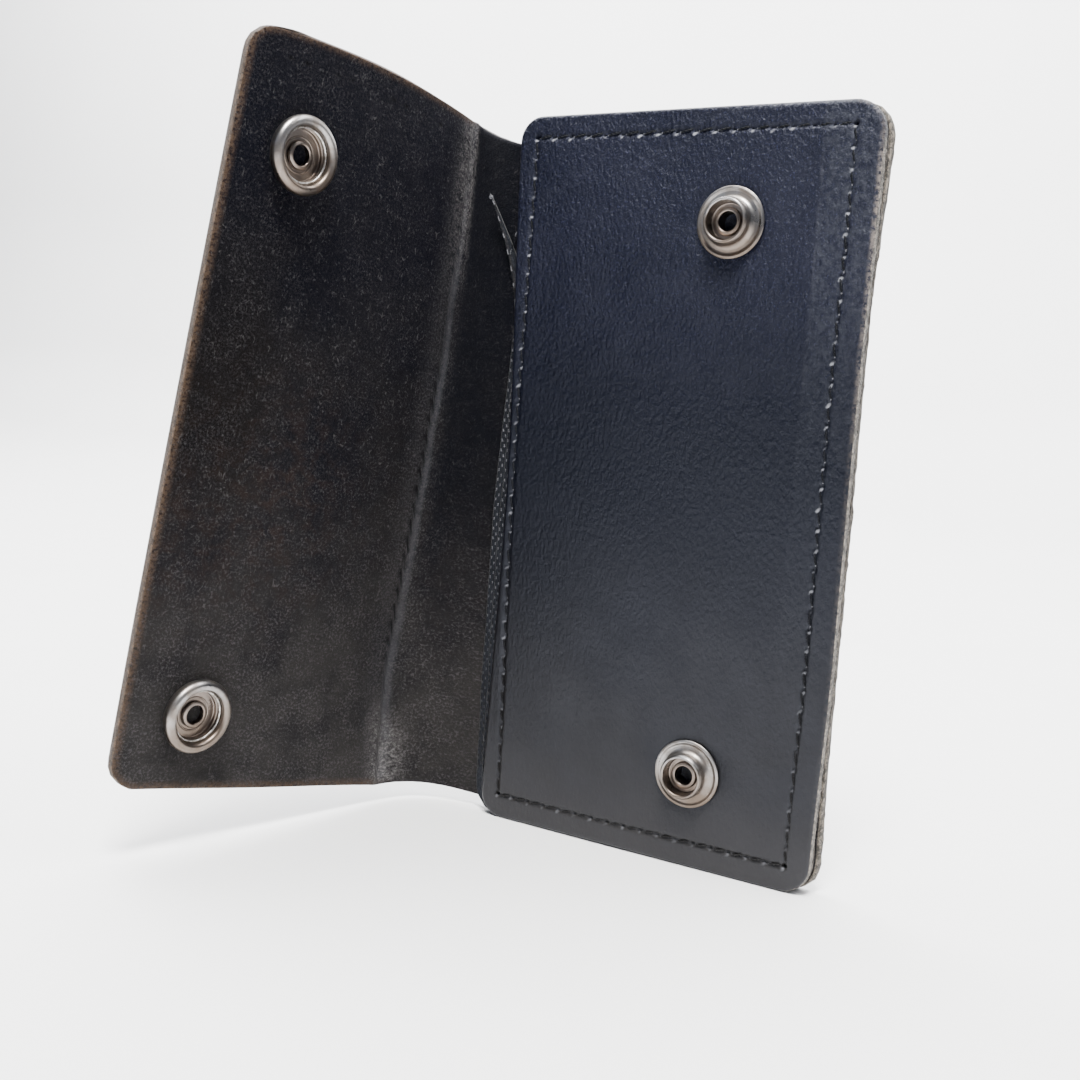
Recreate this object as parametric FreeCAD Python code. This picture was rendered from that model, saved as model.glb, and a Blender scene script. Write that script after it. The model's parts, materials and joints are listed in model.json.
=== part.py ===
"""Long two-snap biker wallet, standing on its short end and opened like a book.

Millimetres, +Z up along the long side, +X across the front panel away from the spine, -Y out of the
front panel.  Everything is laid out with the front panel's lower spine-side corner at (0, 0, 0) and
the flap closed; the flap group is then turned open about the fold, and the whole is moved so that
the origin is at the centre of the bottom of the bounding box.
"""
import FreeCAD, Part
import math
import os

V = FreeCAD.Vector

# --- driving dimensions -------------------------------------------------------------------------
WIDTH = 86.0            # front panel, spine side to free side
HEIGHT = 171.0          # front panel, bottom to top
CORNER_R = 7.0          # corners of the panel stack
PANEL_T = 2.0           # front panel leather
LINING_T = 0.4          # lining behind the front panel
LEAF_T = 0.5            # each thin pocket leaf
COVER_T = 2.5           # cover leather

FLAP_WIDTH = 74.6       # from the crease to the flap's free side
FLAP_CORNER_R = 6.5
SNAP_GAP = 4.8          # between the flap's flesh side and the front panel when the snaps are shut
OPEN_ANGLE = 100.5      # how far the flap stands open from closed
CREASE_X = -0.8         # the crease's inner corner, closed
FOLD_FOOT_X = -17.8     # the leaning fold: its place at the bottom
FOLD_HEAD_X = -1.4      # and at the top
FOLD_START_FOOT = 5.2   # leather left out next to the fold line, so that the fold can close
FOLD_START_HEAD = 1.8
WAIST_TOP = 5.0         # how far the cover is cut in at the fold, top and bottom
WAIST_BOTTOM = 2.5

SNAP_X = 55.5           # snap centres
SNAP_HEIGHTS = {"lower": 22.0, "upper": 146.0}
POST_R = 2.55           # rivet posts
POST_BORE_R = 2.1
POST_HOLE_R = 2.65      # holes punched for them
POST_ROLL_R = 3.1       # rim of a post, rolled over to clamp
STUD_FLOOR = 1.1        # floor inside the stud's head
RIVET_HEAD_R = 5.0
STUD_RECESS_R = 5.2     # lining cut away round a rivet's head

SEAM = {"left": 4.8, "right": 6.0, "top": 5.0, "bottom": 6.0}   # stitch rows from the panel's edges
STITCHES_ACROSS = 17
STITCHES_ALONG = 36
STITCH_GAP = 1.0
THREAD_W = 0.7
THREAD_H = 0.45
FRONT_GROOVE = 0.25     # the front stitches stand a little proud of their groove
BACK_GROOVE = 0.5       # the back stitches lie just under the surface
GROOVE_W = 1.0

LEAF_INSET = 0.6        # spine-side edge of the leaves and the lining, in from the panel's
LEAF_BOW_Z = 100.0      # below this height the pocket leaves fan out past the front panel
LEAF_FOOT_Z = 9.0       # and below this one they are cut off at a slant
LEAF_FOOT_CUT = 3.0     # how far the slant goes in
LEAF_HEAD_R = 3.0
CARD_LEAF_OUT = 3.0
BILL_LEAF_OUT = 5.5
LEAF_STITCH_PITCH = 2.7
LEAF_STITCH_L = 1.9
LEAF_STITCH_W = 0.4
LEAF_STITCH_H = 0.2
LEAF_STITCH_IN = 0.8    # from the leaf's edge
LEAF_STITCH_CLEAR = 0.3 # from the edge of the layer that lies over it

# --- worked out ---------------------------------------------------------------------------------
LINING_Y = PANEL_T
CARD_LEAF_Y = LINING_Y + LINING_T
BILL_LEAF_Y = CARD_LEAF_Y + LEAF_T
COVER_Y = BILL_LEAF_Y + LEAF_T
BACK_Y = COVER_Y + COVER_T
FOLD_Y = COVER_Y + COVER_T / 2
FLAP_INNER_Y = -SNAP_GAP
FLAP_OUTER_Y = FLAP_INNER_Y - COVER_T
FOLD_FOOT = V(FOLD_FOOT_X, FOLD_Y, 0)
FOLD_HEAD = V(FOLD_HEAD_X, FOLD_Y, HEIGHT)
FOLD_AXIS = (FOLD_HEAD - FOLD_FOOT).normalize()


# --- helpers ------------------------------------------------------------------------------------
def rounded_wire(corners, y):
    """A closed wire in the plane at y, from (x, z, radius) corners."""
    points = [V(x, y, z) for x, z, _ in corners]
    edges, ends = [], []
    for i, (_, _, radius) in enumerate(corners):
        here, before, after = points[i], points[i - 1], points[(i + 1) % len(points)]
        to_before, to_after = (before - here).normalize(), (after - here).normalize()
        if radius == 0:
            ends.append((here, None, here))
            continue
        half = to_before.getAngle(to_after) / 2
        reach = radius / math.tan(half)
        middle = (to_before + to_after).normalize() * (radius / math.sin(half) - radius)
        ends.append((here + to_before * reach, here + middle, here + to_after * reach))
    for i, (start, middle, end) in enumerate(ends):
        if middle is not None:
            edges.append(Part.Arc(start, middle, end).toShape())
        edges.append(Part.LineSegment(end, ends[(i + 1) % len(ends)][0]).toShape())
    return Part.Wire(edges)


def plate(corners, y, thickness):
    """A flat piece between y and y + thickness."""
    return Part.Face(rounded_wire(corners, y)).extrude(V(0, thickness, 0))


def turned(x, y, z, towards, start, *moves):
    """A turned piece: moves are (radius, height) points, or pairs of them for an arc through the first.

    Heights run from y along towards, which is +1 or -1 in Y.
    """
    def at(point):
        return V(point[0], 0, point[1])

    edges, here = [], at(start)
    for move in moves + (start,):
        if isinstance(move[0], tuple):
            edges.append(Part.Arc(here, at(move[0]), at(move[1])).toShape())
            here = at(move[1])
        else:
            edges.append(Part.LineSegment(here, at(move)).toShape())
            here = at(move)
    piece = Part.Face(Part.Wire(edges)).revolve(V(0, 0, 0), V(0, 0, 1), 360)
    piece.rotate(V(0, 0, 0), V(1, 0, 0), -90 * towards)
    piece.translate(V(x, y, z))
    return piece


def post_hole(z, y, thickness, radius=POST_HOLE_R):
    return Part.makeCylinder(radius, thickness + 1, V(SNAP_X, y - 0.5, z), V(0, 1, 0))


def punched(piece, y, thickness, radius=POST_HOLE_R):
    for z in SNAP_HEIGHTS.values():
        piece = piece.cut(post_hole(z, y, thickness, radius))
    return piece


def seam_rows(with_spine_side):
    """The stitch rows as (start, end, count), in the panel's plane."""
    left, right = SEAM["left"], WIDTH - SEAM["right"]
    bottom, top = SEAM["bottom"], HEIGHT - SEAM["top"]
    rows = [
        ((left, top), (right, top), STITCHES_ACROSS),
        ((left, bottom), (right, bottom), STITCHES_ACROSS),
        ((right, bottom), (right, top), STITCHES_ALONG),
    ]
    if with_spine_side:
        rows.append(((left, bottom), (left, top), STITCHES_ALONG))
    return rows


def bar(start, end, width, y, height):
    """A flat bar of thread from start to end, (x, z) points, from y to y + height."""
    run = V(end[0] - start[0], 0, end[1] - start[1])
    piece = Part.makeBox(run.Length, height, width, V(0, 0, -width / 2))
    piece.rotate(V(0, 0, 0), V(0, 1, 0), -math.degrees(math.atan2(run.z, run.x)))
    piece.translate(V(start[0], y, start[1]))
    return piece


def stitches(start, end, count, gap, width, y, height):
    """count stitches evenly between start and end, with gap between one and the next."""
    length = math.hypot(end[0] - start[0], end[1] - start[1])
    ux, uz = (end[0] - start[0]) / length, (end[1] - start[1]) / length
    pitch = length / count
    made = []
    for i in range(count):
        a, b = i * pitch + gap / 2, (i + 1) * pitch - gap / 2
        first = (start[0] + ux * a, start[1] + uz * a)
        last = (start[0] + ux * b, start[1] + uz * b)
        made.append(bar(first, last, width, y, height))
    return made


def grooved(piece, rows, y, depth):
    for start, end, _ in rows:
        length = math.hypot(end[0] - start[0], end[1] - start[1])
        ux, uz = (end[0] - start[0]) / length, (end[1] - start[1]) / length
        over = GROOVE_W / 2
        first = (start[0] - ux * over, start[1] - uz * over)
        last = (end[0] + ux * over, end[1] + uz * over)
        piece = piece.cut(bar(first, last, GROOVE_W, y, depth))
    return piece


# --- the stack: front panel, lining, leaves and back --------------------------------------------
def panel_outline(inset=0.0):
    """The front panel's outline, with its spine side moved in by inset."""
    return [(inset, 0, CORNER_R), (WIDTH, 0, CORNER_R), (WIDTH, HEIGHT, CORNER_R), (inset, HEIGHT, CORNER_R)]


def front_panel():
    piece = punched(plate(panel_outline(), 0, PANEL_T), 0, PANEL_T)
    return grooved(piece, seam_rows(True), 0, FRONT_GROOVE)


def panel_lining():
    piece = plate(panel_outline(LEAF_INSET), LINING_Y, LINING_T)
    return punched(piece, LINING_Y, LINING_T, STUD_RECESS_R)


def leaf_edge(out):
    """The leaf's spine-side edge, (x, z) from bottom to top; out is how far it fans out."""
    return [(-out, LEAF_FOOT_Z), (LEAF_INSET, LEAF_BOW_Z), (LEAF_INSET, HEIGHT)]


def pocket_leaf(out, y):
    foot, bow, head = leaf_edge(out)
    outline = [(LEAF_FOOT_CUT - out, 0, 0), (WIDTH, 0, CORNER_R), (WIDTH, HEIGHT, CORNER_R),
               (*head, LEAF_HEAD_R), (*bow, 0), (*foot, 0)]
    return plate(outline, y, LEAF_T)


def leaf_thread(out, over, y):
    """Fine stitches along a leaf's edge, up to where the layer over it, fanned out by over, covers them."""
    foot, bow, _ = leaf_edge(out)
    rise = bow[1] - foot[1]
    lean = (bow[0] - foot[0]) / rise
    free = out - over - LEAF_STITCH_IN - LEAF_STITCH_CLEAR
    shown = free / (out - over) * rise
    count = int(shown / LEAF_STITCH_PITCH)
    start = (foot[0] + LEAF_STITCH_IN, foot[1])
    end = (start[0] + lean * count * LEAF_STITCH_PITCH, start[1] + count * LEAF_STITCH_PITCH)
    gap = LEAF_STITCH_PITCH - LEAF_STITCH_L
    return Part.makeCompound(
        stitches(start, end, count, gap, LEAF_STITCH_W, y - LEAF_STITCH_H, LEAF_STITCH_H))


def cover_back():
    outline = [(0, 0, 0), (WIDTH, 0, CORNER_R), (WIDTH, HEIGHT, CORNER_R), (0, HEIGHT, 0),
               (fold_x(HEIGHT - WAIST_TOP), HEIGHT - WAIST_TOP, 0), (fold_x(WAIST_BOTTOM), WAIST_BOTTOM, 0)]
    piece = plate(outline, COVER_Y, COVER_T)
    return grooved(piece, seam_rows(False), BACK_Y - BACK_GROOVE, BACK_GROOVE)


def seam_thread(y, with_spine_side):
    made = []
    for start, end, count in seam_rows(with_spine_side):
        made += stitches(start, end, count, STITCH_GAP, THREAD_W, y, THREAD_H)
    return Part.makeCompound(made)


# --- the flap, drawn closed ---------------------------------------------------------------------
def fold_x(z):
    return FOLD_FOOT_X + (FOLD_HEAD_X - FOLD_FOOT_X) * z / HEIGHT


def cover_flap():
    free = CREASE_X + FLAP_WIDTH
    outline = [(CREASE_X, 0, 0), (free, 0, FLAP_CORNER_R), (free, HEIGHT, FLAP_CORNER_R), (CREASE_X, HEIGHT, 0)]
    return punched(plate(outline, FLAP_OUTER_Y, COVER_T), FLAP_OUTER_Y, COVER_T)


def spine_section(fold, gap, z):
    """The spine strip at one height: straight from gap past the fold to the crease."""
    crease = V(CREASE_X, FLAP_INNER_Y, z)
    reach = crease - V(fold, FOLD_Y, z)
    along = math.atan2(reach.y, reach.x) - math.asin(COVER_T / 2 / reach.Length)
    run = V(math.cos(along), math.sin(along), 0)
    outward = V(math.sin(along), -math.cos(along), 0)
    inner = V(fold, FOLD_Y, z) - outward * (COVER_T / 2) + run * gap
    outer = inner + outward * COVER_T
    corner = outer + run * ((FLAP_OUTER_Y - outer.y) / run.y)
    return Part.makePolygon([inner, crease, V(CREASE_X, FLAP_OUTER_Y, z), corner, outer, inner])


def cover_spine():
    foot = spine_section(fold_x(0), FOLD_START_FOOT, 0)
    head = spine_section(fold_x(HEIGHT), FOLD_START_HEAD, HEIGHT)
    return Part.makeLoft([foot, head], True, True)


# --- the snaps ----------------------------------------------------------------------------------
def stud(z):
    """The male half: lipped flange, flared neck, bulged head and a floor with the rivet's hole."""
    return turned(
        SNAP_X, 0, z, -1,
        (POST_HOLE_R, 0), (7.6, 0), ((7.9, 0.3), (7.6, 0.6)), ((7.35, 0.68), (7.1, 0.6)),
        ((6.7, 0.45), (6.3, 0.5)), ((5.25, 1.0), (4.85, 2.3)), ((5.2, 3.2), (4.95, 3.85)),
        ((4.6, 4.15), (4.25, 3.9)), (4.1, 1.5), ((4.0, 1.2), (3.7, STUD_FLOOR)), (POST_HOLE_R, STUD_FLOOR))


def stud_rivet(z):
    """The hollow rivet that clamps the stud, with its head behind the front panel."""
    behind = -PANEL_T
    seat = STUD_FLOOR + 0.02
    return turned(
        SNAP_X, 0, z, -1,
        (POST_BORE_R, behind - LINING_T), (RIVET_HEAD_R, behind - LINING_T), (RIVET_HEAD_R, behind),
        (POST_R, behind), (POST_R, seat), (2.65, seat), ((POST_ROLL_R, seat + 0.46), (2.65, seat + 0.92)),
        ((2.25, seat + 0.95), (POST_BORE_R, seat + 0.65)))


def socket(z):
    """The female half: rolled rim, stepped cup and a ringed floor."""
    return turned(
        SNAP_X, FLAP_INNER_Y, z, 1,
        (POST_HOLE_R, 0), (6.9, 0), ((8.0, 1.0), (8.4, 2.5)), ((8.0, 3.5), (7.1, 3.9)),
        ((6.4, 3.7), (6.05, 3.1)), (6.05, 1.5), (5.5, 1.25), (5.5, 0.65), ((5.4, 0.45), (5.2, 0.4)),
        (4.05, 0.4), ((3.8, 0.6), (3.55, 0.4)), (POST_HOLE_R, 0.4))


def snap_spring(z):
    """The wire ring that grips the stud's head."""
    ring_r, wire_r, height = 5.77, 0.25, 2.2
    return Part.makeTorus(ring_r, wire_r, V(SNAP_X, FLAP_INNER_Y + height, z), V(0, 1, 0))


def cap(z):
    """The domed outer button, with the post that is rolled over inside the socket."""
    outside = -COVER_T
    seat = 0.42
    return turned(
        SNAP_X, FLAP_INNER_Y, z, 1,
        (0, outside - 2.2), ((4.4, outside - 1.85), (7.0, outside - 1.0)),
        ((7.5, outside - 0.55), (7.2, outside)), (POST_R, outside), (POST_R, seat), (2.65, seat),
        ((POST_ROLL_R, seat + 0.46), (2.65, seat + 0.92)), ((2.25, seat + 0.95), (POST_BORE_R, seat + 0.65)),
        (POST_BORE_R, outside - 0.8), (0, outside - 0.8))


# --- assembly -----------------------------------------------------------------------------------
def build():
    back = {
        "cover_back": cover_back(),
        "front_panel": front_panel(),
        "panel_lining": panel_lining(),
        "card_pocket_leaf": pocket_leaf(CARD_LEAF_OUT, CARD_LEAF_Y),
        "bill_pocket_leaf": pocket_leaf(BILL_LEAF_OUT, BILL_LEAF_Y),
        "card_leaf_thread": leaf_thread(CARD_LEAF_OUT, 0, CARD_LEAF_Y),
        "bill_leaf_thread": leaf_thread(BILL_LEAF_OUT, CARD_LEAF_OUT, BILL_LEAF_Y),
        "seam_thread_front": seam_thread(FRONT_GROOVE - THREAD_H, True),
        "seam_thread_back": seam_thread(BACK_Y - BACK_GROOVE, False),
    }
    flap = {"cover_flap": cover_flap(), "cover_spine": cover_spine()}
    for place, z in SNAP_HEIGHTS.items():
        back[f"stud_{place}"] = stud(z)
        back[f"stud_rivet_{place}"] = stud_rivet(z)
        flap[f"socket_{place}"] = socket(z)
        flap[f"snap_spring_{place}"] = snap_spring(z)
        flap[f"cap_{place}"] = cap(z)
    for piece in flap.values():
        piece.rotate(FOLD_FOOT, FOLD_AXIS, -OPEN_ANGLE)
    return back, flap


def main():
    back, flap = build()
    pieces = {**back, **flap}
    box = Part.makeCompound(list(pieces.values())).optimalBoundingBox(False)
    shift = V(-(box.XMin + box.XMax) / 2, -(box.YMin + box.YMax) / 2, -box.ZMin)
    os.makedirs("parts", exist_ok=True)
    for name, piece in pieces.items():
        piece.translate(shift)
        piece.exportStep(f"parts/{name}.step")
        print(f"{name:20s} solids {len(piece.Solids):3d} volume {piece.Volume:9.1f} valid {piece.isValid()}")
    rest = V(WIDTH / 2, BACK_Y, HEIGHT / 2) + shift
    print("size", [round(v, 2) for v in (box.XLength, box.YLength, box.ZLength)])
    print("fold point", [round(v, 3) for v in FOLD_FOOT + shift], "axis", [round(v, 6) for v in FOLD_AXIS])
    print("back face", [round(v, 3) for v in rest], "panel corner", [round(v, 3) for v in shift])


main()
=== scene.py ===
"""Looks for the two-snap leather wallet: one folded cover, a stitched pocket stack and press studs.

Lengths are in millimetres in the panel frame, whose origin is the front panel's lower spine-side front
corner: X across the panel, -Y out of it, Z up.  place() turns them into the row frame in metres.
"""
import json
import math

import bpy
import numpy as np
from mathutils import Matrix, Vector


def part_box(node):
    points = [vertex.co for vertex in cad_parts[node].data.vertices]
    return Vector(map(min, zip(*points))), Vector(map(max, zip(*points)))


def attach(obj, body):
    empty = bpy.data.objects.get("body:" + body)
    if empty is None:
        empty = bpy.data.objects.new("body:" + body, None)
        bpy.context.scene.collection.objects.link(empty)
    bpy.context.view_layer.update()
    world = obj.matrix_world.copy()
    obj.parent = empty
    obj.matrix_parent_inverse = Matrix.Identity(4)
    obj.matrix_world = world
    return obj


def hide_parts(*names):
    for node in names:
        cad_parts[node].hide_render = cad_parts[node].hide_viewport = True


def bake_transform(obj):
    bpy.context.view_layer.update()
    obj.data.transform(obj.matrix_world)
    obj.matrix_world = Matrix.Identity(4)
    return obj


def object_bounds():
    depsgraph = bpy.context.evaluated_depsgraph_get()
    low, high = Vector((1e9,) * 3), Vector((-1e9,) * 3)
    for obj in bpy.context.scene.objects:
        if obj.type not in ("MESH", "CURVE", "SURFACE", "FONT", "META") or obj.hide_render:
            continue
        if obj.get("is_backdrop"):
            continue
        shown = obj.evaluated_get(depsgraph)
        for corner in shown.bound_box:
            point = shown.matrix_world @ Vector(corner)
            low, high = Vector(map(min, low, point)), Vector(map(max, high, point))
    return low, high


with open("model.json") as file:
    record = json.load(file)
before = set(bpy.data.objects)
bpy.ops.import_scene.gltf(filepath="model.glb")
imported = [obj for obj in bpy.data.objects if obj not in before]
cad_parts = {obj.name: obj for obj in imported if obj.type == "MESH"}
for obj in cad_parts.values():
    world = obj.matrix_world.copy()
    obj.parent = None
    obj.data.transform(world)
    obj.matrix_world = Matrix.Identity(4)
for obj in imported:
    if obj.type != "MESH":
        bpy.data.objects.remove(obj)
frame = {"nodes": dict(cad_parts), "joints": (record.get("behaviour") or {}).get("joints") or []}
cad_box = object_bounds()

# --- taken from the frame ---
MM = 0.001
PANEL_LOW, PANEL_HIGH = (np.array(corner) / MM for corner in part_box("front_panel"))
WIDTH, PANEL_T, HEIGHT = PANEL_HIGH - PANEL_LOW
BACK_LOW, BACK_HIGH = (np.array(corner) / MM - PANEL_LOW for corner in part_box("cover_back"))
COVER_Y = BACK_LOW[1]
COVER_T = BACK_HIGH[1] - BACK_LOW[1]
FOLD = frame["joints"][0]
FOLD_POINT = np.array(FOLD["pos_m"]) / MM - PANEL_LOW
FOLD_AXIS = np.array(FOLD["axis"])
OPEN_ANGLE = FOLD["range_deg"][1]
STUD_MIDDLES = [np.array(low + high) / 2 / MM - PANEL_LOW
                for low, high in (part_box("stud_lower"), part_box("stud_upper"))]
SNAP_SPOTS = [(middle[0], middle[2]) for middle in STUD_MIDDLES]     # the same on flap and panel

# --- the leather ---
CORNER_R = 7.0
FLAP_WIDTH = 74.1
FLAP_CORNER_R = 6.5
CREASE_X = -0.8
SNAP_GAP = 4.8            # the flap's flesh side stands this far off the panel when shut
EDGE_ROUND = 0.7          # worn rounding of a thick leather edge
WORN_BAND = 0.8           # width of bare fibre on the cover's face, where the edge is worn through
PANEL_WORN_BAND = 0.2     # and on the panel's
PANEL_LEFT_R = 5.8        # the panel's corners at the spine
WAIST_TOP = 6.0           # how far the cover is cut in next to the panel
WAIST_BOTTOM = 3.0
SPINE_FLAT = 24.0         # mean width of the spine, for the flat coordinates
SPINE_COLUMNS = 26        # columns of its mesh
COVER_MID = COVER_Y + COVER_T / 2
PANEL_BOW = 1.8           # the panel's spine side bows in by this at mid-height
SEAM_DRAW = 1.1           # and its stitches lean towards it by this
BOW_REACH = 40.0          # the bow has faded out this far in from the spine side
BULGE_REACH = 22.8        # and the free side's bulge this far in from it
CORNER_REACH = 12.0       # columns crowd together this far in from rounded corners

# how the open flap departs from flat
FOOT_FLARE = -0.1         # lower free corner, outwards
FOOT_PINCH = 5.7          # lower end of the crease, inwards
HEAD_LIFT = 7.8           # upper end of the crease, outwards
FOOT_RISE = (2.1, 5.6)    # lower edge cut up, at the crease and at the free corner
HEAD_RISE = (-0.4, -1.6)  # upper edge, likewise
HEAD_BOW = 1.75           # and bowed up between them
FREE_PULL = 1.1           # upper free corner drawn in
FOOT_SHARE = 0.28         # share of the height that the pinched foot takes
SNAP_CALM_R = 10.0        # the flap stays flat this near to a snap
FLAP_HEADING = (-0.93, -0.36, 0.0)     # from the fold towards the flap
FOLD_REACH = (-3.0, 9.0)  # where the bend begins and ends, along that heading

# --- stitching ---
SEAM_LEFT, SEAM_RIGHT = 4.8, WIDTH - 5.7
SEAM_BOTTOM, SEAM_TOP = 6.0, HEIGHT - 5.0
STITCHES_ACROSS = 17
STITCHES_ALONG = 36
THREAD_R = 0.27
LEAF_THREAD_R = 0.2
STITCH_GAP = 0.62         # bare leather at each end of a stitch
GROOVE_DEPTH, GROOVE_HALF = 0.3, 0.55  # of the groove that the front stitches lie in
GROOVE_SEAT = 0.2         # how far down in it they lie
HOLE_DEPTH, HOLE_R = 0.8, 0.42         # of an awl hole
PLY_TURN = 2.6            # length of one turn of the two plies
LEAF_PITCH = 2.45
LEAF_LEAN = 0.13          # the leaves lean out by this share of how far they pass the panel
UV_TILE = 200.0           # one tile of the UV maps


# --- small tools ---
def place(points):
    """Panel-frame millimetres to row-frame metres."""
    return (np.asarray(points) + PANEL_LOW) * MM


def smooth(t):
    t = np.clip(t, 0, 1)
    return t * t * (3 - 2 * t)


def turned_open(points):
    """Points drawn with the flap closed, turned to where it stands at rest."""
    rest = Matrix.Rotation(math.radians(-OPEN_ANGLE), 3, Vector(FOLD_AXIS))
    return (points - FOLD_POINT) @ np.array(rest).T + FOLD_POINT


def waves(across, along, size, seed):
    """Smooth unevenness between about -1 and 1, with bumps about size across."""
    dice = np.random.default_rng(seed)
    total = np.zeros(np.broadcast(across, along).shape)
    for _ in range(7):
        heading, phase = dice.uniform(0, 2 * math.pi, 2)
        length = size * dice.uniform(0.7, 1.8)
        reach = across * math.cos(heading) + along * math.sin(heading)
        total += np.sin(2 * math.pi * reach / length + phase)
    return total / 4


def grid_lines(length, step, rows=(), reach=1.5, fine=0.25):
    """Positions from 0 to length: close at both rims, fine round each row, and step apart between."""
    rim = np.array([0, 0.12, 0.35, 0.7, 1.1])
    even = np.linspace(1.1, length - 1.1, int((length - 2.2) / step) + 1)
    for row in rows:
        even = even[np.abs(even - row) > reach]
    bands = [row + np.arange(-reach, reach + fine / 2, fine) for row in rows]
    return np.unique(np.round(np.concatenate([rim, length - rim, even, *bands]), 4))


def corner_inset(height, radius):
    """How far a rounded corner draws the side in, at each height."""
    near = np.clip(radius - np.minimum(height, HEIGHT - height), 0, radius)
    return radius - np.sqrt(radius ** 2 - near ** 2)


def rim_distance(from_left, from_right, from_end, radius_left, radius_right):
    """Distance to the outline of a sheet with rounded corners."""
    nearest = np.minimum(np.minimum(from_left, from_right), from_end)
    for side, radius in ((from_left, radius_left), (from_right, radius_right)):
        dx, dz = np.maximum(radius - side, 0), np.maximum(radius - from_end, 0)
        in_corner = (side < radius) & (from_end < radius)
        nearest = np.where(in_corner, radius - np.hypot(dx, dz), nearest)
    return np.maximum(nearest, 0)


def edge_drop(distance, radius=EDGE_ROUND):
    """How far the surface drops below flat, this near to a rounded edge."""
    near = np.clip(radius - distance, 0, radius)
    return radius - np.sqrt(radius ** 2 - near ** 2)


def normals(points):
    """Unit normals of a grid of points, by the right-hand rule from column to row."""
    across, along = np.gradient(points, axis=0), np.gradient(points, axis=1)
    crossed = np.cross(across, along)
    return crossed / np.linalg.norm(crossed, axis=2, keepdims=True)


def add_values(mesh, name, values):
    values = np.asarray(values, np.float32)
    kind = "FLOAT_VECTOR" if values.ndim == 2 else "FLOAT"
    layer = mesh.attributes.new(name, kind, "POINT")
    layer.data.foreach_set("vector" if values.ndim == 2 else "value", values.ravel())


def make_mesh(name, points, faces, materials, slots=None, flat=None, **values):
    """A mesh object from panel-frame points, with flat coordinates and other values for its materials."""
    mesh = bpy.data.meshes.new(name)
    mesh.from_pydata(place(points).tolist(), [], faces)
    for material in materials:
        mesh.materials.append(material)
    if slots is not None:
        mesh.polygons.foreach_set("material_index", slots)
    mesh.polygons.foreach_set("use_smooth", [True] * len(mesh.polygons))
    flat = points if flat is None else flat
    add_values(mesh, "flat", flat)
    for key, value in values.items():
        add_values(mesh, key, value)
    layer = mesh.uv_layers.new(name="UVMap")
    corners = np.array([loop.vertex_index for loop in mesh.loops])
    layer.data.foreach_set("uv", (np.asarray(flat)[corners, :2] / UV_TILE).astype(np.float32).ravel())
    mesh.validate()
    piece = bpy.data.objects.new(name, mesh)
    bpy.context.scene.collection.objects.link(piece)
    return piece


def plain_back_faces(index, back_of):
    """A back spanned row by row between the sides, and across both ends; back_of maps front to back."""
    low, high = [back_of[int(v)] for v in index[0]], [back_of[int(v)] for v in index[-1]]
    faces = [[low[row], low[row + 1], high[row + 1], high[row]] for row in range(len(low) - 1)]
    first, last = ([back_of[int(v)] for v in index[:, end]] for end in (0, -1))
    return faces + [first[::-1], last]


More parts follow.
